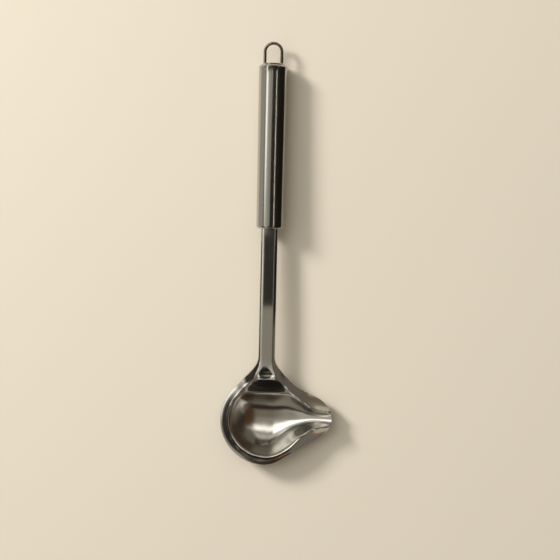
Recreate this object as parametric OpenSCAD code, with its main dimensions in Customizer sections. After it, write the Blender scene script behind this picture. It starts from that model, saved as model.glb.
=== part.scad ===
// Sauce ladle: one pressed bowl and shank with a pouring spout, a tapered tube handle and a wire loop.
// The pressing is described as a height over its rim plane. The ladle then lies on its back.

/* [Bowl] */
// Radius of the rim's outer edge
rim_r = 30; // [27:0.5:40]
// Radius of the bowl's mouth, where the flange begins
mouth_r = 24; // [21:0.5:25]
// Depth of the bowl's floor below the rim plane
bowl_depth = 14.5; // [12:0.5:18]
// Radius of the bowl's floor
floor_r = 32; // [28:1:60]
// Slope that the bowl's wall leads up to, in degrees
wall_angle = 58; // [52:1:66]
// Softness of the turn from floor to wall
corner_soft = 8; // [6:0.5:11]
// Slope of the flange, in degrees
flange_slope = 29; // [15:1:32]
// Distance of the mouth's straight edge, by the neck, from the bowl's centre
neck_edge_y = 18; // [15:0.5:20]

/* [Spout] */
// Distance of the spout's lip from the bowl's centre
spout_reach = 44.3; // [40:0.1:50]
// Angle from the spout's middle to the ladle's cross axis, in degrees
spout_turn = 2; // [-5:0.5:5]
// Spread of the outline on the spout's neck side, in degrees
spread_neck_side = 27.5; // [22:0.5:30]
// Spread of the outline on the spout's far side, in degrees
spread_far_side = 24; // [20:0.5:28]
// How far the spout's far side is cut inside the rim's circle
far_side_cut = 2.2; // [0:0.1:3]
// Half width of the channel at the lip
lip_half_w = 5.5; // [4:0.1:7]
// Opening of the channel's sides towards the bowl, in degrees
funnel_angle = 33; // [25:1:40]
// Distance from the bowl's centre to where the channel's sides run parallel
funnel_end_x = 33; // [30:0.5:38]
// Depth of the channel at the lip
lip_depth = 5.2; // [3:0.1:7]
// Rise of the channel's floor towards the lip, in degrees
channel_rise = 18; // [12:0.5:24]

/* [Neck and shank] */
// Thickness of the sheet
sheet_t = 1.2; // [1:0.1:2]
// Height of the slanting facet that lifts the neck above the rim
neck_lift = 3.4; // [2:0.1:5]
// Half length of the slanting facet
facet_half_w = 13.5; // [11:0.5:15]
// Width of the slanting facet at its middle
facet_w = 8.4; // [6:0.1:9]
// Gap from the mouth's straight edge to the slanting facet
facet_gap = 2.1; // [1.5:0.1:3]
// Width of the shank
shank_w = 11; // [9:0.1:12]
// Width of the turned-down edges along the shank
shank_edge_w = 1.8; // [1.5:0.1:3]
// Width of the turned-down edges beside the neck
neck_edge_w = 5; // [3:0.1:6]
// Distance from the bowl's centre to where the neck has narrowed to the shank
neck_end_y = 42; // [40:0.5:46]
// Rise of the shank above the rim plane, in degrees
shank_rise = 2.6; // [0:0.1:6]
// Height of the slight arch that the shank makes beyond the neck
arch_h = 0.6; // [0:0.1:1.5]
// Reach of that arch
arch_reach = 20; // [15:1:30]
// Length of the tang inside the handle
tang_length = 24; // [15:1:40]
// Width of the small stiffening dimple
dimple_w = 7.6; // [5:0.1:9]
// Height of the small stiffening dimple along the neck
dimple_h = 4.2; // [3:0.1:5]
// Depth of the small stiffening dimple
dimple_depth = 1.2; // [0.4:0.1:1.4]

/* [Handle] */
// Distance from the bowl's centre to the handle's lower end
handle_start_y = 127.4; // [110:0.2:140]
// Length of the handle tube
handle_length = 107.6; // [90:0.2:130]
// Diameter of the tube at its lower end
handle_low_d = 17.6; // [16:0.1:20]
// Diameter of the tube at its upper end
handle_top_d = 18.7; // [17:0.1:22]
// Wall of the tube
tube_wall = 0.8; // [0.6:0.1:1]
// Radius of the spun shoulder at the lower end
low_shoulder_r = 1.8; // [1.2:0.1:2.2]
// Radius of the spun shoulder at the upper end
top_shoulder_r = 1.8; // [1.2:0.1:2.2]
// Running gap where the handle's pieces are pressed together
fit_gap = 0.05; // [0.03:0.01:0.1]

/* [Caps and loop] */
// Thickness of the caps
cap_t = 2.4; // [2:0.1:4]
// How far the top cap stands out of the tube
cap_proud = 1.1; // [0.6:0.1:2]
// Diameter of the top cap's face
top_cap_d = 14.2; // [13.8:0.1:14.4]
// Diameter of the loop's wire
wire_d = 2.1; // [1.6:0.1:2.5]
// Distance between the centres of the loop's legs
loop_w = 11; // [9:0.1:11.2]
// Height of the loop above the top cap
loop_h = 14.2; // [11:0.1:20]
// Length of the loop's legs below the top cap's face
leg_length = 12; // [8:0.5:20]

/* [Hidden] */
round_fn = 96;
wire_fn = 32;

// Grid of the pressing: columns round the bowl, a square core at its middle, rings out to the rim
core_n = 22;
columns = 4 * core_n;
wall_rings = 9;
crest_rings = 5;
flange_rings = 9;
core_r = 7;
// Columns are closer together at the spout
spout_density = 24;
end_density = 4.5;

// Smooth minimum and maximum: k is the height over which two surfaces blend
function smin(a, b, k) = min(a, b) - pow(max(k - abs(a - b), 0) / k, 2) * k / 4;
function smax(a, b, k) = -smin(-a, -b, k);
function mix(a, b, t) = a + (b - a) * t;
function ease(t) = let (u = min(max(t, 0), 1)) u * u * (3 - 2 * u);
function wrap(a) = a - 360 * floor((a + 180) / 360);
// A ramp from 0 to 1 with rounded ends
ramp_round = 0.05;
function soft_abs(t) = sqrt(t * t + ramp_round * ramp_round);
function ramp(t) = (soft_abs(t) - soft_abs(t - 1) + 1) / 2;

// Outline of the rim and of the mouth, as radii at an azimuth
outline_power = 2.4;
cut_azimuth = -58;
cut_spread = 18;
function outline_r(a) =
    let (d = wrap(a - spout_turn), spread = d > 0 ? spread_neck_side : spread_far_side)
    rim_r + (spout_reach - rim_r) * exp(-pow(abs(d) / spread, outline_power))
    - far_side_cut * exp(-pow(wrap(a - cut_azimuth) / cut_spread, 2));
mouth_spread = 10.5;
mouth_power = 2.6;
lip_flange = 3;
function mouth_line_r(a) =
    let (d = abs(wrap(a - spout_turn)) / mouth_spread,
         round_part = mouth_r + (spout_reach - mouth_r) / (1 + pow(d, mouth_power)),
         straight = sin(a) > 0.3 ? neck_edge_y / sin(a) : 2 * rim_r)
    smin(smin(round_part, outline_r(a) - lip_flange, 2), straight, 3);

// Heights of the round bowl, and of the wall below the mouth's straight edge
wall_slope = tan(wall_angle);
wall_rise = bowl_depth - mouth_r * mouth_r / (2 * floor_r);
wall_foot = mouth_r - corner_soft * ln(exp(wall_rise / corner_soft) - 1) / wall_slope;
function bowl_h(r) =
    r * r / (2 * floor_r) - bowl_depth
    + corner_soft * ln(1 + exp((r - wall_foot) * wall_slope / corner_soft));
neck_wall_sink = 2;
function neck_wall_h(y) =
    let (t = max(y, 0) / neck_edge_y)
    bowl_h(max(y, 0) + mouth_r - neck_edge_y) - neck_wall_sink * (1 - t * t);

// Height of the spout's channel, whose sides open into the bowl like a funnel
channel_y = 1.3;
channel_in_x = 6;
channel_in_depth = bowl_depth - 0.8;
channel_end_rise = 0.12;
channel_power = 2.6;
funnel_soft = 1.5;
function funnel_w(x) =
    lip_half_w + tan(funnel_angle) * funnel_soft * ln(1 + exp((funnel_end_x - x) / funnel_soft));
function channel_h(x, y) =
    let (depth = smin(lip_depth + max(spout_reach - x, 0) * tan(channel_rise), channel_in_depth, 4))
    depth * (pow(abs(y - channel_y) / funnel_w(x), channel_power) - 1)
    + channel_end_rise * pow(max(channel_in_x - x, 0), 2);

funnel_blend = 5;
neck_wall_blend = 5;
function cavity_h(x, y) =
    smax(smin(bowl_h(norm([x, y])), channel_h(x, y), funnel_blend), neck_wall_h(y), neck_wall_blend);

// Half width of the pressing beside the neck and along the shank
flare_slope = 0.89;
flare_in = 16.4;
function half_width(y) =
    let (line = flare_in - flare_slope * (y - flare_base_y),
         circle = sqrt(max(rim_r * rim_r - y * y, 0)))
    smax(smax(line, circle, 1.5), shank_w / 2, 4);
flare_base_y = neck_end_y - 16;

// Heights of the flange round the bowl, and of the neck and shank
flange_round = 0.03;
function flange_h(r, a) =
    let (inner = mouth_line_r(a), w = outline_r(a) - inner, t = min(max((r - inner) / w, 0), 1))
    -w * tan(flange_slope) * (t - flange_round * sin(360 * t));
facet_y = neck_edge_y + facet_gap;
facet_bow = facet_w / 2;
dimple_y = facet_y + facet_w + 2.8;
rise_start_y = neck_end_y - 8;
rise_round = 5;
function rise_h(y) =
    let (s = max(y - rise_start_y, 0))
    tan(shank_rise) * (s - rise_round * (1 - exp(-s / rise_round)))
    + arch_h * (1 - exp(-pow(s / arch_reach, 2)));
function lift_h(x, y) =
    let (s = min(abs(x) / facet_half_w, 1), low = facet_y + facet_bow * s * s,
         width = max(facet_w * (1 - s * s), 0.2))
    neck_lift * pow(1 - s * s, 1.3) * ramp((y - low) / width);
dimple_skew = 0.5;
function dimple_shape(x, y) =
    let (v = 2 * (y - dimple_y) / dimple_h, q = pow(2 * x / dimple_w, 2) + v * v)
    exp(-pow(q, 1.4)) * (1 - dimple_skew * v);
bend_round = 0.2;
flare_cos = 0.75;
shank_drop = shank_edge_w * tan(flange_slope);
function neck_h(x, y) =
    let (t = ease((y - flare_base_y) / (neck_end_y - flare_base_y)),
         from_edge = (half_width(y) - abs(x)) * mix(flare_cos, 1, t),
         bent = max(mix(neck_edge_w, shank_edge_w, t) - max(from_edge, -1), -2))
    lift_h(x, y) + rise_h(y) - dimple_depth * dimple_shape(x, y)
    - tan(flange_slope) * (bent + sqrt(bent * bent + bend_round * bend_round)) / 2;

// The whole upper face: the mouth is sunk into the flange, and the flange runs up into the neck
neck_azimuth = 90;
neck_spread = 33.5;
neck_blend = 16;
crest_blend = 2;
function surface_h(x, y) =
    let (r = norm([x, y]), a = atan2(y, x),
         side = abs(wrap(a - neck_azimuth)),
         w = 1 - ease((side - neck_spread) / neck_blend),
         flange = mix(flange_h(r, a), w > 0 ? neck_h(x, y) : 0, w))
    y > facet_y + facet_w ? flange : smin(flange, cavity_h(x, y), crest_blend);

// Thickness is measured square to the sheet, so the lower face hangs lower where the sheet is steep
probe = 0.05;
most_hang = 2.6;
function below_h(x, y, h) =
    let (hx = (surface_h(x + probe, y) - h) / probe, hy = (surface_h(x, y + probe) - h) / probe)
    h - sheet_t * min(sqrt(1 + hx * hx + hy * hy), most_hang);

// Azimuth of column c, which need not be whole
function azimuth(c) = let (f = 360 * c / columns) f - spout_density * sin(f) - end_density * sin(2 * f);

// Corners of the neck: the columns nearest its two edges
function nearest(a, c = 0, best = 0) =
    c >= columns ? best :
    nearest(a, c + 1, abs(wrap(azimuth(c) - a)) < abs(wrap(azimuth(best) - a)) ? c : best);
first_col = nearest(neck_azimuth - neck_spread);
last_col = nearest(neck_azimuth + neck_spread);
neck_cols = last_col - first_col;

// Square core: point (i, k) lies on square ring m, at column c of that ring
half_n = core_n / 2;
function core_xy(i, k) =
    let (a = i - half_n, b = k - half_n, m = max(abs(a), abs(b)),
         c = a == m ? b : b == m ? 2 * m - a : a == -m ? 4 * m - b : 6 * m + a,
         az = azimuth(m == 0 ? 0 : c * half_n / m), r = core_r * m / half_n)
    r * [cos(az), sin(az)];
// Index of the core's edge point at column c
function core_edge(c) =
    let (m = half_n, ab = c <= m ? [m, c] : c <= 3 * m ? [2 * m - c, m] : c <= 5 * m ? [-m, 4 * m - c] :
         c <= 7 * m ? [c - 6 * m, -m] : [m, c - 8 * m])
    (ab[0] + m) * (core_n + 1) + ab[1] + m;

// Rings out to the rim: up the wall, over the crest and across the flange
rings = wall_rings + crest_rings + flange_rings;
crest_half_w = 2.2;
neck_edge_r = rim_r + 0.6;
function rim_edge_r(a) = abs(wrap(a - neck_azimuth)) < neck_spread + 3 ? neck_edge_r : outline_r(a);
function ring_r(n, az) =
    let (inner = mouth_line_r(az) - crest_half_w, outer = inner + 2 * crest_half_w)
    n < wall_rings ? mix(core_r, inner, n / wall_rings) :
    n < wall_rings + crest_rings ? mix(inner, outer, (n - wall_rings) / crest_rings) :
    mix(outer, rim_edge_r(az), (n - wall_rings - crest_rings) / flange_rings);
function ring_xy(n, c) = let (az = azimuth(c)) ring_r(n, az) * [cos(az), sin(az)];

// Rows across the neck, then along the shank and its tang
corner_y = neck_edge_r * sin(azimuth(first_col));
neck_rows = 14;
curve_rows = 5;
shank_rows = 6;
rows = neck_rows + curve_rows + shank_rows;
row_growth = 1.3;
tang_end_y = handle_start_y + tang_length;
curve_end_y = rise_start_y + 2 * arch_reach;
function row_xy(n, j) =
    let (t = pow(min(n / neck_rows, 1), row_growth),
         edge_y = n <= neck_rows ? mix(corner_y, neck_end_y, t) :
             n <= neck_rows + curve_rows ? mix(neck_end_y, curve_end_y, (n - neck_rows) / curve_rows) :
             mix(curve_end_y, tang_end_y, (n - neck_rows - curve_rows) / shank_rows),
         az = azimuth(first_col + j), end_az = azimuth(j < neck_cols / 2 ? first_col : last_col),
         arc_s = cos(az) / cos(end_az),
         s = mix(arc_s * (j < neck_cols / 2 ? 1 : -1), 1 - 2 * j / neck_cols, t),
         bow = (neck_edge_r - corner_y) * (1 - t))
    [s * half_width(edge_y), edge_y + bow * (1 - s * s)];

plan = concat(
    [for (i = [0:core_n], k = [0:core_n]) core_xy(i, k)],
    [for (n = [1:rings], c = [0:columns - 1]) ring_xy(n, c)],
    [for (n = [1:rows], j = [0:neck_cols]) row_xy(n, j)]);
ring_base = (core_n + 1) * (core_n + 1);
row_base = ring_base + rings * columns;
function ring_id(n, c) =
    let (k = c % columns) n == 0 ? core_edge(k) : ring_base + (n - 1) * columns + k;
function row_id(n, j) = n == 0 ? ring_id(rings, first_col + j) : row_base + (n - 1) * (neck_cols + 1) + j;

quads = concat(
    [for (i = [0:core_n - 1], k = [0:core_n - 1])
        let (p = i * (core_n + 1) + k) [p, p + core_n + 1, p + core_n + 2, p + 1]],
    [for (n = [0:rings - 1], c = [0:columns - 1])
        [ring_id(n, c), ring_id(n + 1, c), ring_id(n + 1, c + 1), ring_id(n, c + 1)]],
    [for (n = [0:rows - 1], j = [0:neck_cols - 1])
        [row_id(n, j), row_id(n + 1, j), row_id(n + 1, j + 1), row_id(n, j + 1)]]);
outline = concat(
    [for (c = [last_col:columns + first_col]) ring_id(rings, c)],
    [for (n = [1:rows]) row_id(n, 0)],
    [for (j = [1:neck_cols]) row_id(rows, j)],
    [for (n = [rows - 1:-1:1]) row_id(n, neck_cols)]);

upper = [for (p = plan) [p[0], p[1], surface_h(p[0], p[1])]];
lower = [for (p = upper) [p[0], p[1], below_h(p[0], p[1], p[2])]];
count = len(plan);
pressing_faces = concat(
    [for (q = quads, f = [[q[2], q[1], q[0]], [q[3], q[2], q[0]]]) f],
    [for (q = quads, f = [[q[0], q[1], q[2]], [q[0], q[2], q[3]]]) [for (i = f) i + count]],
    [for (i = [0:len(outline) - 1])
        let (u = outline[i], v = outline[(i + 1) % len(outline)])
        each [[u, v, v + count], [u, v + count, u + count]]]);

// The handle's axis runs through the middle of the shank's section
handle_z = surface_h(0, handle_start_y) - (shank_drop + sheet_t) / 2;
module on_handle() {
    translate([0, handle_start_y, handle_z]) rotate([shank_rise - 90, 0, 0]) children();
}

// Lying angle: bowl and handle end both touch the floor. Found by halving the interval that holds it
handle_top_r = handle_top_d / 2;
handle_low_r = handle_low_d / 2;
belly = [for (i = [0:row_base - 1]) lower[i]];
function belly_low(t) = min([for (p = belly) p[2] * cos(t) - p[1] * sin(t)]);
function handle_low(t) =
    handle_z * cos(t) - handle_start_y * sin(t)
    + (handle_length - top_shoulder_r) * sin(shank_rise - t)
    - (handle_top_r - top_shoulder_r) * cos(shank_rise - t) - top_shoulder_r;
function solve_lie(low, high, n) =
    let (mid = (low + high) / 2)
    n == 0 ? mid :
    handle_low(mid) > belly_low(mid) ? solve_lie(mid, high, n - 1) : solve_lie(low, mid, n - 1);
steepest_lie = 20;
lie = solve_lie(0, steepest_lie, 20);

wire_r = wire_d / 2;
face_z = handle_length + cap_proud;
loop_end_y = handle_start_y * cos(lie) + handle_z * sin(lie)
    + (face_z + loop_h - wire_r) * cos(shank_rise - lie) + wire_r;
bowl_end_y = min([for (p = concat(upper, lower)) p[1] * cos(lie) + p[2] * sin(lie)]);
mid_x = (min([for (p = upper) p[0]]) + max([for (p = upper) p[0]])) / 2;
module lay() {
    translate([-mid_x, -(loop_end_y + bowl_end_y) / 2, -belly_low(lie)]) rotate([-lie, 0, 0]) children();
}

// Points of an arc about [x, y]
arc_steps = 6;
function arc(x, y, r, from, to) =
    [for (i = [0:arc_steps]) let (a = mix(from, to, i / arc_steps)) [x + r * cos(a), y + r * sin(a)]];

lip_in = 0.6;
low_lip_r = handle_low_r - low_shoulder_r - lip_in;
cap_r = top_cap_d / 2;
top_lip_r = cap_r + fit_gap;
cap_edge_r = 0.7;

module bowl_and_shank() {
    color([0.62, 0.6, 0.56]) lay()
        polyhedron(points = concat(upper, lower), faces = pressing_faces, convexity = 8);
}

module handle_tube() {
    low_in = low_shoulder_r - tube_wall;
    top_in = top_shoulder_r - tube_wall;
    profile = concat(
        [[low_lip_r, 0]],
        arc(handle_low_r - low_shoulder_r, low_shoulder_r, low_shoulder_r, -90, 0),
        arc(handle_top_r - top_shoulder_r, handle_length - top_shoulder_r, top_shoulder_r, 0, 90),
        [[top_lip_r, handle_length], [top_lip_r, handle_length - tube_wall]],
        arc(handle_top_r - top_shoulder_r, handle_length - top_shoulder_r, top_in, 90, 0),
        arc(handle_low_r - low_shoulder_r, low_shoulder_r, low_in, 0, -90),
        [[low_lip_r, tube_wall]]);
    color([0.72, 0.71, 0.69]) lay() on_handle() rotate_extrude($fn = round_fn) polygon(profile);
}

module bottom_cap() {
    slot_w = shank_w + 2 * fit_gap;
    slot_h = shank_drop + sheet_t + 2 * fit_gap;
    color([0.5, 0.49, 0.47]) lay() on_handle() translate([0, 0, low_shoulder_r]) difference() {
        cylinder(h = cap_t, r = handle_low_r - tube_wall - fit_gap, $fn = round_fn);
        translate([-slot_w / 2, -slot_h / 2, -cap_t]) cube([slot_w, slot_h, 3 * cap_t]);
    }
}

module top_cap() {
    profile = concat(
        [[0, handle_length - cap_t], [cap_r, handle_length - cap_t]],
        arc(cap_r - cap_edge_r, face_z - cap_edge_r, cap_edge_r, 0, 90),
        [[0, face_z]]);
    color([0.6, 0.58, 0.55]) lay() on_handle() difference() {
        rotate_extrude($fn = round_fn) polygon(profile);
        for (side = [-1, 1]) translate([side * loop_w / 2, 0, handle_length - 2 * cap_t])
            cylinder(h = 4 * cap_t, r = wire_r + fit_gap, $fn = round_fn);
    }
}

module hanging_loop() {
    straight = loop_h - loop_w / 2 - wire_r;
    color([0.5, 0.48, 0.45]) lay() on_handle() translate([0, 0, face_z]) {
        translate([0, 0, straight]) rotate([90, 0, 0])
            rotate_extrude(angle = 180, $fn = round_fn)
                translate([loop_w / 2, 0]) circle(r = wire_r, $fn = wire_fn);
        for (side = [-1, 1]) translate([side * loop_w / 2, 0, -leg_length])
            cylinder(h = leg_length + straight, r = wire_r, $fn = wire_fn);
    }
}

bowl_and_shank();
handle_tube();
bottom_cap();
top_cap();
hanging_loop();
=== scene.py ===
"""Sauce ladle: the finish of its pressed bowl and shank, tube handle, caps and wire loop.

The studio's room and cards are set for the photograph's view of the ladle.
"""

import logging
import math
from dataclasses import dataclass, field
from enum import Enum

import bmesh
import bpy
import numpy as np
from mathutils import Matrix, Vector


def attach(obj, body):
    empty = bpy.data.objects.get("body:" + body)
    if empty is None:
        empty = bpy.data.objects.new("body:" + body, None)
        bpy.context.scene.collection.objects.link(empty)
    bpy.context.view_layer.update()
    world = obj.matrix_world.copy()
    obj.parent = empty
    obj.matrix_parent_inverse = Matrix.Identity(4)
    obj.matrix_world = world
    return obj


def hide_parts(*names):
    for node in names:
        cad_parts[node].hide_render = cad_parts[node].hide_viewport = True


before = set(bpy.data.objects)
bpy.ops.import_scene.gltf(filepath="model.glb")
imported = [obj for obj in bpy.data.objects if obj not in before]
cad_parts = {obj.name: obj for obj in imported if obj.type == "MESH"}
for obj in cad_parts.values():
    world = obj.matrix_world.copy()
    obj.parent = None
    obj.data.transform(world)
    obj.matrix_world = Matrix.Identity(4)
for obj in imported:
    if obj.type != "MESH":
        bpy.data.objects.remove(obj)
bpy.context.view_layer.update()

logging.basicConfig(level=logging.INFO, format="%(message)s")
log = logging.getLogger("ladle")

MM = 0.001
BODY = "root"
MERGE = 0.001 * MM
RING_MERGE = 0.02 * MM
POINT_R = 0.01 * MM
TURNED_SMOOTH = math.radians(35)
POINT_PLACES = 7
PHOTO_PX = 560
MM_PER_PX = 0.66
CARD_BASE = (0.006, 0.0045, 0.0035, 1)
CARD_ROUGHNESS = 0.9


class Slot(Enum):
    """Names of four material slots, which no piece in this script is given."""

    SHEET = "polished_sheet"
    TUBE = "satin_tube"
    CAP = "cap_steel"
    WIRE = "polished_wire"


class Value:
    """A shader socket that takes part in Python expressions.

    Each expression adds the Math nodes that it needs.
    """

    def __init__(self, graph: "Graph", socket: bpy.types.NodeSocket) -> None:
        """Wraps one output socket.

        Args:
            graph: The graph that new nodes are added to.
            socket: The output socket.
        """
        self.graph = graph
        self.socket = socket

    def _math(self, operation: str, left: object, right: object) -> "Value":
        """Adds one Math node.

        Args:
            operation: The node's operation.
            left: The first operand, a value or a number.
            right: The second operand, a value or a number.

        Returns:
            The node's result.
        """
        return self.graph.node("ShaderNodeMath", {"operation": operation}, {0: left, 1: right})

    def __add__(self, other: object) -> "Value":
        """The sum."""
        return self._math("ADD", self, other)

    def __radd__(self, other: object) -> "Value":
        """The sum, with the number first."""
        return self._math("ADD", other, self)

    def __sub__(self, other: object) -> "Value":
        """The difference."""
        return self._math("SUBTRACT", self, other)

    def __rsub__(self, other: object) -> "Value":
        """The difference, with the number first."""
        return self._math("SUBTRACT", other, self)

    def __mul__(self, other: object) -> "Value":
        """The product."""
        return self._math("MULTIPLY", self, other)

    def __rmul__(self, other: object) -> "Value":
        """The product, with the number first."""
        return self._math("MULTIPLY", other, self)

    def __truediv__(self, other: object) -> "Value":
        """The quotient."""
        return self._math("DIVIDE", self, other)

    def __pow__(self, other: object) -> "Value":
        """The power."""
        return self._math("POWER", self, other)


class Graph:
    """A node tree that is written as expressions."""

    def __init__(self, tree: bpy.types.NodeTree) -> None:
        """Empties a node tree and keeps it.

        Args:
            tree: The node tree of a material or of the world.
        """
        self.tree = tree
        self.tree.nodes.clear()

    def node(self, kind: str, settings: dict | None = None, sockets: dict | None = None,
             out: object = 0) -> Value:
        """Adds one node.

        Args:
            kind: The node's type.
            settings: Its own settings, which are set first.
            sockets: Values, numbers or tuples for its input sockets, by name or index.
            out: Name or index of the output that is returned.

        Returns:
            The chosen output.
        """
        made = self.tree.nodes.new(kind)
        for name, setting in (settings or {}).items():
            setattr(made, name, setting)
        for key, value in (sockets or {}).items():
            if isinstance(value, Value):
                self.tree.links.new(value.socket, made.inputs[key])
            else:
                made.inputs[key].default_value = value
        return Value(self, made.outputs[out]) if made.outputs else Value(self, None)

    def surface(self, sockets: dict) -> None:
        """Adds the surface shader and the material's output.

        Args:
            sockets: Values, numbers or tuples for the shader's input sockets.
        """
        shader = self.node("ShaderNodeBsdfPrincipled", {}, sockets)
        self.node("ShaderNodeOutputMaterial", {}, {"Surface": shader})

    def position(self) -> Value:
        """Object coordinates of the shaded point, in metres."""
        return self.node("ShaderNodeTexCoord", out="Object")

    def dot(self, vector: Value, axis: Vector) -> Value:
        """The part of a vector along an axis.

        Args:
            vector: The vector.
            axis: The axis.

        Returns:
            The dot product.
        """
        sockets = {0: vector, 1: tuple(axis)}
        return self.node("ShaderNodeVectorMath", {"operation": "DOT_PRODUCT"}, sockets, "Value")

    def scaled(self, vector: object, factor: object) -> Value:
        """A vector times a number.

        Args:
            vector: The vector, a value or a tuple.
            factor: The number, or a value.

        Returns:
            The scaled vector.
        """
        return self.node("ShaderNodeVectorMath", {"operation": "SCALE"}, {0: vector, "Scale": factor})

    def added(self, left: object, right: object) -> Value:
        """The sum of two vectors.

        Args:
            left: The first vector.
            right: The second vector.

        Returns:
            The sum.
        """
        return self.node("ShaderNodeVectorMath", {"operation": "ADD"}, {0: left, 1: right})

    def noise(self, vector: Value, scale: float, detail: float = 2.0, roughness: float = 0.5) -> Value:
        """Smooth noise from 0 to 1.

        Args:
            vector: Where it is read.
            scale: Its frequency.
            detail: Number of finer layers.
            roughness: Weight of the finer layers.

        Returns:
            The noise.
        """
        sockets = {"Vector": vector, "Scale": scale, "Detail": detail, "Roughness": roughness}
        return self.node("ShaderNodeTexNoise", {}, sockets, "Fac")

    def blend(self, factor: object, low: object, high: object) -> Value:
        """Mixes two colours.

        Args:
            factor: 0 gives low and 1 gives high.
            low: The first colour.
            high: The second colour.

        Returns:
            The mixed colour.
        """
        ends = [c if isinstance(c, Value) else (*c, 1.0) for c in (low, high)]
        return self.node("ShaderNodeMix", {"data_type": "RGBA"}, {0: factor, 6: ends[0], 7: ends[1]}, 2)

    def step(self, value: Value, low: float, high: float) -> Value:
        """A smooth step from 0 to 1.

        Args:
            value: What is compared.
            low: Where the step begins.
            high: Where it ends.

        Returns:
            The step.
        """
        sockets = {"Value": value, "From Min": low, "From Max": high}
        return self.node("ShaderNodeMapRange", {"interpolation_type": "SMOOTHSTEP"}, sockets)

    def spread(self, value: Value, low: float, high: float) -> Value:
        """Maps 0 to 1 onto a range.

        Args:
            value: A value from 0 to 1.
            low: Result at 0.
            high: Result at 1.

        Returns:
            The mapped value.
        """
        return value * (high - low) + low


def new_material(name: str) -> tuple[bpy.types.Material, Graph]:
    """Makes a material with an empty graph.

    Args:
        name: Name of the material.

    Returns:
        The material and its graph.
    """
    made = bpy.data.materials.new(name)
    made.use_nodes = True
    return made, Graph(made.node_tree)


@dataclass(frozen=True)
class Steel:
    """A bare stainless finish: colour, gloss and the size of its fine lines and waves.

    Each mix is the weight of the fine lines and that of the clouds.
    """

    name: str
    colour: tuple[float, float, float]
    dark_colour: tuple[float, float, float]
    gloss: tuple[float, float]
    line_pitch: float
    line_length: float
    line_height: float
    wave_height: float = 0.0
    wave_scale: float = 45.0
    cloud_scale: float = 60.0
    tone_mix: tuple[float, float] = (0.7, 0.3)
    gloss_mix: tuple[float, float] = (0.6, 0.4)

    def lines(self, graph: Graph, grain: Vector) -> Value:
        """Fine lines that run along the grain.

        Args:
            graph: The material's graph.
            grain: Direction of the lines.

        Returns:
            A value from 0 to 1.
        """
        place = graph.position()
        along = graph.dot(place, grain)
        stretch = 1 / self.line_length - 1 / self.line_pitch
        fine = graph.scaled(place, 1 / self.line_pitch)
        squeezed = graph.added(fine, graph.scaled(tuple(grain), along * stretch))
        return graph.noise(squeezed, scale=1.0, detail=3.0, roughness=0.6)

    def material(self, grain: Vector) -> bpy.types.Material:
        """Builds the material.

        Args:
            grain: Direction of the finish's fine lines.

        Returns:
            The material.
        """
        made, graph = new_material(self.name)
        lines = self.lines(graph, grain)
        clouds = graph.noise(graph.position(), self.cloud_scale, detail=3.0)
        tone_part = lines * self.tone_mix[0] + clouds * self.tone_mix[1]
        tone = graph.blend(tone_part, self.dark_colour, self.colour)
        gloss_part = lines * self.gloss_mix[0] + clouds * self.gloss_mix[1]
        gloss = graph.spread(gloss_part, *self.gloss)
        waves = graph.noise(graph.position(), self.wave_scale, detail=1.0)
        height = lines * self.line_height + waves * self.wave_height
        bump = {"Strength": 1.0, "Distance": 1.0, "Height": height}
        normal = graph.node("ShaderNodeBump", {}, bump, "Normal")
        graph.surface({"Base Color": tone, "Metallic": 1.0, "Roughness": gloss, "Normal": normal})
        return made


POLISHED_SHEET = Steel(
    "polished_sheet", (0.56, 0.54, 0.505), (0.5, 0.48, 0.445), (0.15, 0.22),
    line_pitch=0.4 * MM, line_length=9 * MM, line_height=0.0006 * MM, wave_height=0.004 * MM)
SATIN_TUBE = Steel(
    "satin_tube", (0.57, 0.55, 0.515), (0.47, 0.455, 0.425), (0.12, 0.22),
    line_pitch=0.35 * MM, line_length=26 * MM, line_height=0.0015 * MM)
CAP_STEEL = Steel(
    "cap_steel", (0.55, 0.53, 0.5), (0.46, 0.44, 0.41), (0.2, 0.3),
    line_pitch=0.3 * MM, line_length=3 * MM, line_height=0.002 * MM)
DRAWN_WIRE = Steel(
    "drawn_wire", (0.4, 0.36, 0.31), (0.3, 0.265, 0.22), (0.12, 0.22),
    line_pitch=0.2 * MM, line_length=6 * MM, line_height=0.001 * MM)


def clear_selection() -> None:
    """Leaves nothing selected, in object mode."""
    if bpy.context.object and bpy.context.object.mode != "OBJECT":
        bpy.ops.object.mode_set(mode="OBJECT")
    bpy.ops.object.select_all(action="DESELECT")


def select_only(piece: bpy.types.Object) -> None:
    """Selects one piece and makes it the active one, in object mode.

    Args:
        piece: The piece.
    """
    clear_selection()
    piece.select_set(True)
    bpy.context.view_layer.objects.active = piece


def edit(piece: bpy.types.Object) -> None:
    """Opens one piece in edit mode with nothing selected in it.

    Args:
        piece: The piece.
    """
    select_only(piece)
    bpy.ops.object.mode_set(mode="EDIT")
    bpy.ops.mesh.select_mode(type="VERT")
    bpy.ops.mesh.select_all(action="DESELECT")


def add_modifier(piece: bpy.types.Object, kind: str, **settings: object) -> None:
    """Adds a modifier and applies it.

    Args:
        piece: The piece.
        kind: The modifier's type.
        settings: Its settings.
    """
    modifier = piece.modifiers.new(kind.lower(), kind)
    for name, value in settings.items():
        setattr(modifier, name, value)
    select_only(piece)
    bpy.ops.object.modifier_apply(modifier=modifier.name)


def dress(piece: bpy.types.Object, node: str, material: bpy.types.Material) -> None:
    """Gives a piece its material and its place in the frame.

    Args:
        piece: The piece.
        node: The CAD node that it stands for.
        material: The material.
    """
    piece.data.materials.clear()
    piece.data.materials.append(material)
    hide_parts(node)
    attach(piece, BODY)
    log.info("%s: %d faces", piece.name, len(piece.data.polygons))


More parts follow.
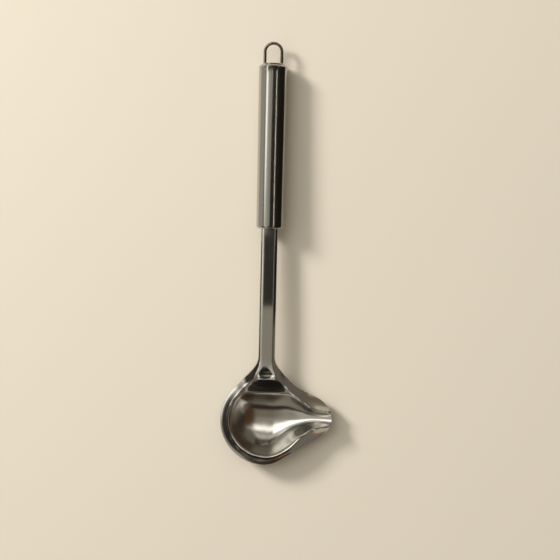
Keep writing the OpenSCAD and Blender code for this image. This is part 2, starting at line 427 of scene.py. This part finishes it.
@dataclass
class HandleLine:
    """The straight line that the handle is built on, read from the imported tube."""

    start: Vector = field(init=False)
    axis: Vector = field(init=False)
    length: float = field(init=False)

    def __post_init__(self) -> None:
        """Finds the tube's axis and its lower end."""
        points = np.array([v.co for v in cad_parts["handle_tube"].data.vertices], float)
        unique = np.unique(points.round(POINT_PLACES), axis=0)
        centre = unique.mean(0)
        axis = np.linalg.svd(unique - centre)[2][0]
        axis = axis if axis[1] > 0 else -axis
        side = np.abs(unique[:, 0] - centre[0])
        along = (unique - centre) @ axis
        self.axis = Vector(axis)
        self.length = float(along.max() - along.min())
        middle = Vector(centre)
        middle.x = float((unique[:, 0].max() + unique[:, 0].min()) / 2)
        self.start = middle + self.axis * float(along.min())
        log.info("handle axis %s, length %.4f, widest %.5f", tuple(self.axis), self.length, side.max())

    def matrix(self) -> Matrix:
        """Places a piece that was made along +Z on the handle's line."""
        side = Vector((1.0, 0.0, 0.0))
        up = self.axis.cross(side).normalized()
        turn = Matrix((side, up, self.axis)).transposed().to_4x4()
        return Matrix.Translation(self.start) @ turn


def turned(name: str, profile: list[tuple[float, float]], segments: int = 128) -> bpy.types.Object:
    """A turned piece: a ring that is extruded and resized along its profile.

    Args:
        name: Name of the piece.
        profile: Radius and height of each station, in metres. The first and last may have radius 0.
        segments: Number of sides.

    Returns:
        The piece, about the Z axis.
    """
    clear_selection()
    radius, height = profile[0]
    bpy.ops.mesh.primitive_circle_add(vertices=segments, radius=max(radius, POINT_R),
                                      location=(0, 0, height))
    piece = bpy.context.object
    piece.name = name
    bpy.ops.object.transform_apply()
    edit(piece)
    bpy.ops.mesh.select_all(action="SELECT")
    for (r0, z0), (r1, z1) in zip(profile, profile[1:]):
        bpy.ops.mesh.extrude_region_move(TRANSFORM_OT_translate={"value": (0, 0, z1 - z0)})
        factor = max(r1, POINT_R) / max(r0, POINT_R)
        bpy.ops.transform.resize(value=(factor, factor, 1), center_override=(0, 0, z1))
    bpy.ops.mesh.select_all(action="SELECT")
    bpy.ops.mesh.remove_doubles(threshold=RING_MERGE)
    bpy.ops.mesh.select_all(action="SELECT")
    bpy.ops.mesh.fill_holes(sides=0)
    bpy.ops.mesh.select_all(action="SELECT")
    bpy.ops.mesh.normals_make_consistent(inside=False)
    bpy.ops.object.mode_set(mode="OBJECT")
    return piece


def arc(x: float, z: float, radius: float, start: float, end: float,
        steps: int = 8) -> list[tuple[float, float]]:
    """Points of an arc in a profile.

    Args:
        x: Radius of the arc's centre from the axis.
        z: Height of the arc's centre.
        radius: The arc's own radius.
        start: First angle, in degrees.
        end: Last angle, in degrees.
        steps: Number of steps.

    Returns:
        The points.
    """
    angles = [math.radians(start + (end - start) * i / steps) for i in range(steps + 1)]
    return [(x + radius * math.cos(a), z + radius * math.sin(a)) for a in angles]


def place(piece: bpy.types.Object, line: HandleLine) -> None:
    """Moves a turned piece onto the handle and applies its place.

    Args:
        piece: The piece.
        line: The handle's line.
    """
    piece.matrix_world = line.matrix()
    select_only(piece)
    bpy.ops.object.transform_apply()
    bpy.ops.object.shade_smooth_by_angle(angle=TURNED_SMOOTH)


@dataclass
class Pressing:
    """The one-piece bowl, spout, neck and shank."""

    node: str = "bowl_and_shank"
    sharp: float = math.radians(55)
    edge_crease: float = 0.75
    levels: int = 2
    quad_face: float = math.radians(60)
    quad_shape: float = math.radians(100)
    smooth: float = math.radians(50)
    crown: float = 3.4 * MM
    crown_half_w: float = 13.5 * MM
    crown_power: float = 1.3
    flat_from: float = -79.5 * MM
    flat_until: float = -63.5 * MM

    def flatten(self, piece: bpy.types.Object) -> None:
        """Takes the slight crown out of the shank, which is flat in the photograph.

        The change grows smoothly along the neck, from flat_from to flat_until.

        Args:
            piece: The copy of the pressing.
        """
        middle = 0.5 * sum(pick(v.co.x for v in piece.data.vertices if v.co.y > 0) for pick in (min, max))
        for vertex in piece.data.vertices:
            side = min(abs(vertex.co.x - middle) / self.crown_half_w, 1.0)
            part = min(max((vertex.co.y - self.flat_from) / (self.flat_until - self.flat_from), 0.0), 1.0)
            fall = 1 - (1 - side * side) ** self.crown_power
            vertex.co.z += self.crown * fall * part * part * (3 - 2 * part)

    def mesh(self) -> bpy.types.Object:
        """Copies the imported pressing, joins its facets to quads and smooths it.

        Returns:
            The smooth pressing.
        """
        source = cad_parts[self.node]
        piece = bpy.data.objects.new("pressed_ladle", source.data.copy())
        bpy.context.scene.collection.objects.link(piece)
        edit(piece)
        bpy.ops.mesh.customdata_custom_splitnormals_clear()
        bpy.ops.mesh.select_all(action="SELECT")
        bpy.ops.mesh.remove_doubles(threshold=MERGE)
        bpy.ops.mesh.select_all(action="SELECT")
        bpy.ops.mesh.tris_convert_to_quads(face_threshold=self.quad_face, shape_threshold=self.quad_shape)
        bpy.ops.mesh.select_all(action="DESELECT")
        bpy.ops.mesh.select_mode(type="EDGE")
        bpy.ops.mesh.edges_select_sharp(sharpness=self.sharp)
        bpy.ops.transform.edge_crease(value=self.edge_crease)
        bpy.ops.object.mode_set(mode="OBJECT")
        self.flatten(piece)
        triangles = sum(len(p.vertices) == 3 for p in piece.data.polygons)
        log.info("pressing: %d quads, %d triangles left", len(piece.data.polygons) - triangles, triangles)
        add_modifier(piece, "SUBSURF", levels=self.levels, render_levels=self.levels)
        select_only(piece)
        bpy.ops.object.shade_smooth_by_angle(angle=self.smooth)
        return piece

    def build(self) -> bpy.types.Object:
        """Makes and dresses the pressing.

        Returns:
            The piece.
        """
        piece = self.mesh()
        dress(piece, self.node, POLISHED_SHEET.material(Vector((0.0, 1.0, 0.0))))
        return piece


@dataclass
class Handle:
    """The tapered tube with its two caps and the wire loop."""

    line: HandleLine
    low_r: float = 8.79 * MM
    top_r: float = 9.34 * MM
    wall: float = 0.8 * MM
    low_shoulder: float = 1.8 * MM
    top_shoulder: float = 1.8 * MM
    low_lip: float = 6.4 * MM
    cap_r: float = 7.1 * MM
    cap_t: float = 2.4 * MM
    cap_proud: float = 1.1 * MM
    cap_edge: float = 0.7 * MM
    wire_r: float = 1.05 * MM
    loop_w: float = 11 * MM
    loop_h: float = 14.18 * MM
    leg: float = 12 * MM
    slot_w: float = 11.1 * MM
    slot_h: float = 2.47 * MM
    gap: float = 0.05 * MM
    slot_cap_edge: float = 0.3 * MM
    tube_sides: int = 160
    cap_sides: int = 96
    wire_sides: int = 24
    bend_steps: int = 40

    def tube(self) -> bpy.types.Object:
        """The tube with its spun ends.

        Returns:
            The piece.
        """
        low, top, length, wall = self.low_shoulder, self.top_shoulder, self.line.length, self.wall
        lip = self.cap_r + self.gap
        profile = [(self.low_lip, wall), (self.low_lip, 0)]
        profile += arc(self.low_r - low, low, low, -90, 0)
        profile += arc(self.top_r - top, length - top, top, 0, 90)
        profile += [(lip, length), (lip, length - wall)]
        profile += arc(self.top_r - top, length - top, top - wall, 90, 0)
        profile += arc(self.low_r - low, low, low - wall, 0, -90)
        profile += [(self.low_lip, wall)]
        piece = turned("brushed_tube", profile, self.tube_sides)
        place(piece, self.line)
        return piece

    def top_cap(self) -> bpy.types.Object:
        """The cap that stands a little out of the tube's upper end.

        Returns:
            The piece.
        """
        face = self.line.length + self.cap_proud
        profile = [(0.0, self.line.length - self.cap_t), (self.cap_r, self.line.length - self.cap_t)]
        profile += arc(self.cap_r - self.cap_edge, face - self.cap_edge, self.cap_edge, 0, 90)
        profile += [(0.0, face)]
        piece = turned("loop_cap", profile, self.cap_sides)
        place(piece, self.line)
        return piece

    def bottom_cap(self) -> bpy.types.Object:
        """The slotted disc that the shank comes through.

        Returns:
            The piece.
        """
        radius = self.low_r - self.wall - self.gap
        edge = self.slot_cap_edge
        low = self.low_shoulder
        profile = [(0.0, low)] + arc(radius - edge, low + edge, edge, -90, 0, steps=4)
        profile += [(radius, low + self.cap_t), (0.0, low + self.cap_t)]
        piece = turned("shank_cap", profile, self.cap_sides)
        clear_selection()
        bpy.ops.mesh.primitive_cube_add(size=1, location=(0, 0, low + self.cap_t / 2))
        cutter = bpy.context.object
        cutter.scale = (self.slot_w, self.slot_h, 3 * self.cap_t)
        bpy.ops.object.transform_apply()
        add_modifier(piece, "BOOLEAN", object=cutter, operation="DIFFERENCE", solver="EXACT")
        bpy.data.objects.remove(cutter)
        place(piece, self.line)
        return piece

    def loop(self) -> bpy.types.Object:
        """The bent wire: one leg up, half a turn, and the other leg down.

        Returns:
            The piece.
        """
        face = self.line.length + self.cap_proud
        straight = self.loop_h - self.loop_w / 2 - self.wire_r
        clear_selection()
        bpy.ops.mesh.primitive_circle_add(vertices=self.wire_sides, radius=self.wire_r, fill_type="NGON",
                                          location=(self.loop_w / 2, 0, face - self.leg))
        piece = bpy.context.object
        piece.name = "bent_wire"
        bpy.ops.object.transform_apply()
        edit(piece)
        bpy.ops.mesh.select_mode(type="FACE")
        bpy.ops.mesh.select_all(action="SELECT")
        bpy.ops.mesh.extrude_region_move(TRANSFORM_OT_translate={"value": (0, 0, self.leg + straight)})
        bpy.ops.mesh.spin(steps=self.bend_steps, angle=math.pi, center=(0, 0, face + straight),
                          axis=(0, 1, 0))
        bpy.ops.mesh.extrude_region_move(TRANSFORM_OT_translate={"value": (0, 0, -self.leg - straight)})
        bpy.ops.mesh.select_all(action="SELECT")
        bpy.ops.mesh.remove_doubles(threshold=MERGE)
        bpy.ops.mesh.select_all(action="SELECT")
        bpy.ops.mesh.normals_make_consistent(inside=False)
        bpy.ops.object.mode_set(mode="OBJECT")
        place(piece, self.line)
        return piece

    def build(self) -> None:
        """Makes and dresses the handle's pieces."""
        across = Vector((1.0, 0.0, 0.0))
        dress(self.tube(), "handle_tube", SATIN_TUBE.material(self.line.axis))
        dress(self.top_cap(), "top_cap", CAP_STEEL.material(across))
        dress(self.bottom_cap(), "bottom_cap", CAP_STEEL.material(across))
        dress(self.loop(), "hanging_loop", DRAWN_WIRE.material(self.line.axis))


@dataclass(frozen=True)
class Glow:
    """A soft-edged part of the room, in degrees to the right of and above the camera's axis."""

    colour: tuple[float, float, float]
    across: tuple[float, float]
    upward: tuple[float, float]
    soft: tuple[float, float] = (4.0, 4.0)

    def mask(self, graph: Graph, turn: Value, rise: Value) -> Value:
        """Where the patch is.

        Args:
            graph: The world's graph.
            turn: Angle to the right of the camera's axis, in degrees.
            rise: Angle above the camera's axis, in degrees.

        Returns:
            1 inside the patch and 0 outside.
        """
        result = None
        spans = (self.across, self.upward)
        for value, (low, high), soft in zip((turn, rise), spans, self.soft):
            enter = graph.step(value, low - soft, low + soft)
            leave = graph.step(value, high - soft, high + soft)
            inside = enter * (1.0 - leave)
            result = inside if result is None else result * inside
        return result


# The tones were set to what the photograph's metal mirrors from each direction.
# A later patch covers the ones before it.
ROOM = (
    Glow((0.1, 0.05, 0.022), (26, 64), (-66, 12), (8, 6)),
    Glow((0.05, 0.036, 0.024), (64, 120), (-40, 36), (6, 6)),
    Glow((0.14, 0.12, 0.08), (-60, 22), (-90, -40), (8, 8)),
    Glow((0.36, 0.15, 0.08), (22, 54), (-88, -56), (8, 5)),
    Glow((0.32, 0.22, 0.15), (52, 120), (-90, -42), (6, 6)),
    Glow((0.21, 0.15, 0.1), (38, 66), (8, 40), (6, 6)),
    Glow((0.26, 0.24, 0.165), (-110, 66), (38, 90), (10, 8)),
    Glow((0.34, 0.31, 0.21), (64, 120), (44, 90), (6, 8)),
    Glow((0.42, 0.4, 0.32), (-18, 38), (10, 40), (7, 8)),
    Glow((0.38, 0.37, 0.27), (-75, -22), (38, 72), (8, 8)),
    Glow((0.64, 0.62, 0.55), (-60, -8), (14, 44), (7, 8)),
    Glow((0.26, 0.23, 0.17), (-16, 22), (-56, 6), (7, 8)),
    Glow((0.35, 0.33, 0.27), (-16, 22), (-20, 14), (7, 6)),
    Glow((0.6, 0.57, 0.5), (-100, -16), (-90, 6), (8, 5)),
    Glow((0.03, 0.023, 0.017), (-120, -54), (-62, 26), (5, 6)),
    Glow((0.03, 0.023, 0.017), (-55, 40), (-72, -52), (6, 5)),
    Glow((1.9, 1.86, 1.74), (-53, -38), (-4, 46), (4, 5)),
    Glow((0.95, 0.9, 0.78), (22, 52), (14, 23), (7, 3)),
    Glow((1.6, 1.56, 1.44), (-14, 28), (7, 22), (6, 4)),
    Glow((2.8, 2.75, 2.6), (-38, -8), (4, 30), (4, 4)),
    Glow((2.2, 2.14, 2.0), (-10, 26), (11, 20), (5, 3)),
)


@dataclass(frozen=True)
class Card:
    """A black or glowing card that only the metal's reflections see. It paints a dark or light reflection
    on the metal.
    """

    name: str
    place: tuple[float, float, float]
    aim: tuple[float, float, float]
    size: tuple[float, float]
    glow: tuple[float, float, float] = (0.0, 0.0, 0.0)
    sides: int = 4

    def build(self) -> None:
        """Adds the card."""
        back = Vector(self.aim) - Vector(self.place)
        clear_selection()
        turn = back.to_track_quat("Z", "Y").to_euler()
        if self.sides == 4:
            bpy.ops.mesh.primitive_plane_add(size=1, location=self.place, rotation=turn)
        else:
            bpy.ops.mesh.primitive_circle_add(vertices=self.sides, radius=0.5, fill_type="NGON",
                                              location=self.place, rotation=turn)
        card = bpy.context.object
        card.name = self.name
        card.scale = (*self.size, 1.0)
        bpy.ops.object.transform_apply()
        card.visible_camera = card.visible_diffuse = card.visible_shadow = False
        material, graph = new_material(self.name)
        graph.surface({"Base Color": CARD_BASE, "Roughness": CARD_ROUGHNESS,
                       "Emission Color": (*self.glow, 1), "Emission Strength": 1.0})
        card.data.materials.append(material)


# These cards lie close over or beside the ladle and paint its reflections, since only the metal's
# reflections see them. The first three are black and darken the shank, the facet and the dimple under them
# with a painted dark reflection. The others paint the light and dark reflections that give the neck,
# spout, loop and tube their tones.
CARDS = (
    Card("shank_flag", (-0.007, -0.0105, 0.045), (-0.007, -0.0105, 0), (0.02, 0.049)),
    Card("lens_flag", (-0.0068, -0.0901, 0.0205), (-0.0068, -0.0901, 0), (0.0268, 0.0101), sides=48),
    Card("dimple_flag", (-0.0087, -0.0795, 0.0225), (-0.0087, -0.0795, 0), (0.0105, 0.0105), sides=32),
    Card("neck_fill", (-0.007, -0.085, 0.036), (-0.007, -0.085, 0), (0.03, 0.019), (0.72, 0.69, 0.61)),
    Card("neck_side_painted_reflection", (0.03, -0.071, 0.037), (0, -0.071, 0.037), (0.042, 0.038), (0.16, 0.145, 0.125)),
    Card("spout_fill", (0.0367, -0.1437, 0.029), (0.025, -0.125, 0.015), (0.04, 0.02), (0.22, 0.2, 0.175)),
    Card("loop_flag", (-0.007, 0.139, 0.04), (-0.007, 0.139, 0), (0.05, 0.026)),
    # The tube's cards paint its reflections: pale bands, a black band, a bright painted highlight strip
    # and a dark side.
    Card("tube_edge_painted_reflection", (-0.047, 0.071, 0.021), (0, 0.071, 0.021), (0.126, 0.034), (0.42, 0.4, 0.35)),
    Card("tube_left_painted_reflection", (-0.0333, 0.071, 0.06), (-0.0333, 0.071, 0), (0.0166, 0.126), (0.5, 0.48, 0.42)),
    Card("tube_middle_painted_reflection", (-0.018, 0.071, 0.06), (-0.018, 0.071, 0), (0.014, 0.126), (0.33, 0.32, 0.28)),
    Card("tube_flag", (0.0055, 0.071, 0.06), (0.0055, 0.071, 0), (0.029, 0.126)),
    Card("tube_painted_highlight_strip", (0.022, 0.071, 0.06), (0.022, 0.071, 0), (0.0024, 0.126), (2.8, 2.65, 2.35)),
    Card("tube_side_dark_reflection", (0.026, 0.0465, 0.029), (0, 0.0465, 0.029), (0.175, 0.058)),
)


@dataclass
class Panel:
    """A soft rectangular light that faces the ladle."""

    name: str
    place: tuple[float, float, float]
    aim: tuple[float, float, float]
    size: tuple[float, float]
    power: float
    colour: tuple[float, float, float] = (1.0, 0.97, 0.92)

    def build(self) -> None:
        """Adds the light."""
        data = bpy.data.lights.new(self.name, "AREA")
        data.shape = "RECTANGLE"
        data.size, data.size_y = self.size
        data.energy = self.power
        data.color = self.colour
        lamp = bpy.data.objects.new(self.name, data)
        bpy.context.scene.collection.objects.link(lamp)
        lamp.location = self.place
        lamp.visible_glossy = False
        back = Vector(self.place) - Vector(self.aim)
        lamp.rotation_euler = back.to_track_quat("Z", "Y").to_euler()
        log.info("light %s", self.name)


KEY = Panel("key", (-1.4, 0.94, 1.02), (0, 0, 0), (0.44, 0.44), 39.0)


@dataclass
class Studio:
    """Floor, world, key light, cards and camera."""

    floor_size: float = 6.0
    floor_colour: tuple[float, float, float] = (0.72, 0.664, 0.572)
    aim: tuple[float, float, float] = (0.56 * MM, -16.1 * MM, 16.5 * MM)
    view_tilt: float = math.radians(4.5)
    view_roll: float = math.radians(1.33)
    distance: float = 1.1
    frame_width: float = PHOTO_PX * MM_PER_PX * MM
    sensor: float = 36.0
    clip_start: float = 0.05
    floor_low: float = 0.97
    floor_scale: float = 3.0
    floor_roughness: float = 0.8
    room_base: tuple[float, float, float] = (0.02, 0.016, 0.011)
    crest_r: float = 29.5 * MM
    crest_z: float = 20.5 * MM
    crest_size: tuple[float, float] = (10 * MM, 10 * MM)
    crest_middle: tuple[float, float, float] = (-7.1 * MM, -110 * MM, 0.0)
    crest_from: int = 116
    crest_until: int = 310
    crest_pitch: int = 17
    crest_light: float = 0.2
    crest_fade: float = 16
    crest_least: float = 0.008
    crest_tint: tuple[float, float, float] = (1.0, 0.8, 0.65)

    def floor(self) -> None:
        """The plain pale floor."""
        clear_selection()
        bpy.ops.mesh.primitive_plane_add(size=self.floor_size)
        floor = bpy.context.object
        floor.name = "floor"
        material, graph = new_material("floor_paint")
        clouds = graph.noise(graph.position(), self.floor_scale)
        darker = tuple(self.floor_low * c for c in self.floor_colour)
        tone = graph.blend(clouds, darker, self.floor_colour)
        graph.surface({"Base Color": tone, "Roughness": self.floor_roughness})
        floor.data.materials.append(material)

    def axes(self) -> tuple[Vector, Vector, Vector]:
        """The camera's own axes.

        Returns:
            To the right, upward and back towards the camera.
        """
        back = Vector((0.0, math.sin(self.view_tilt), math.cos(self.view_tilt)))
        side = Vector((-math.sin(self.view_roll), math.cos(self.view_roll), 0.0)).cross(back).normalized()
        return side, back.cross(side), back

    def world(self) -> None:
        """The room that the metal mirrors, which also fills the shadows."""
        world = bpy.data.worlds.new("studio")
        bpy.context.scene.world = world
        world.use_nodes = True
        graph = Graph(world.node_tree)
        direction = graph.node("ShaderNodeTexCoord", out="Generated")
        side, up, back = (graph.dot(direction, axis) for axis in self.axes())
        turn = graph.node("ShaderNodeMath", {"operation": "ARCTAN2"}, {0: side, 1: back}) * math.degrees(1)
        rise = graph.node("ShaderNodeMath", {"operation": "ARCSINE"}, {0: up}) * math.degrees(1)
        colour = self.room_base
        for glow in ROOM:
            colour = graph.blend(glow.mask(graph, turn, rise), colour, glow.colour)
        shade = graph.node("ShaderNodeBackground", {}, {"Color": colour, "Strength": 1.0})
        graph.node("ShaderNodeOutputWorld", {}, {"Surface": shade})

    def camera(self) -> None:
        """The camera, square to the ladle's face and rolled as the photograph shows it."""
        data = bpy.data.cameras.new("camera")
        data.sensor_width = self.sensor
        data.lens = self.sensor * self.distance / self.frame_width
        data.clip_start = self.clip_start
        camera = bpy.data.objects.new("camera", data)
        bpy.context.scene.collection.objects.link(camera)
        side, up, back = self.axes()
        turn = Matrix((side, up, back)).transposed().to_4x4()
        camera.matrix_world = Matrix.Translation(Vector(self.aim) + back * self.distance) @ turn
        bpy.context.scene.camera = camera

    def crest(self) -> None:
        """Small cards over the bowl's left rim, seen only in the metal's reflections. They glow next to
        the neck and darken away from it, and so paint a light and dark reflection on the rim.
        """
        middle = Vector(self.crest_middle)
        for turn in range(self.crest_from, self.crest_until, self.crest_pitch):
            way = Vector((math.cos(math.radians(turn)), math.sin(math.radians(turn)), 0.0))
            fade = math.exp(-(turn - self.crest_from) / self.crest_fade)
            light = self.crest_light * fade + self.crest_least
            glow = tuple(tint * light for tint in self.crest_tint)
            over = middle + way * self.crest_r + Vector((0.0, 0.0, self.crest_z))
            Card(f"crest_{turn}", tuple(over), (over.x, over.y, 0.0), self.crest_size, glow).build()

    def build(self) -> None:
        """Makes the studio."""
        self.floor()
        self.world()
        self.camera()
        KEY.build()
        self.crest()
        for card in CARDS:
            card.build()


def main() -> None:
    """Builds the ladle and its studio."""
    scene = bpy.context.scene
    scene.view_settings.view_transform = "Standard"
    Studio().build()
    Pressing().build()
    Handle(HandleLine()).build()
    clear_selection()


if __name__ == "__main__":
    main()
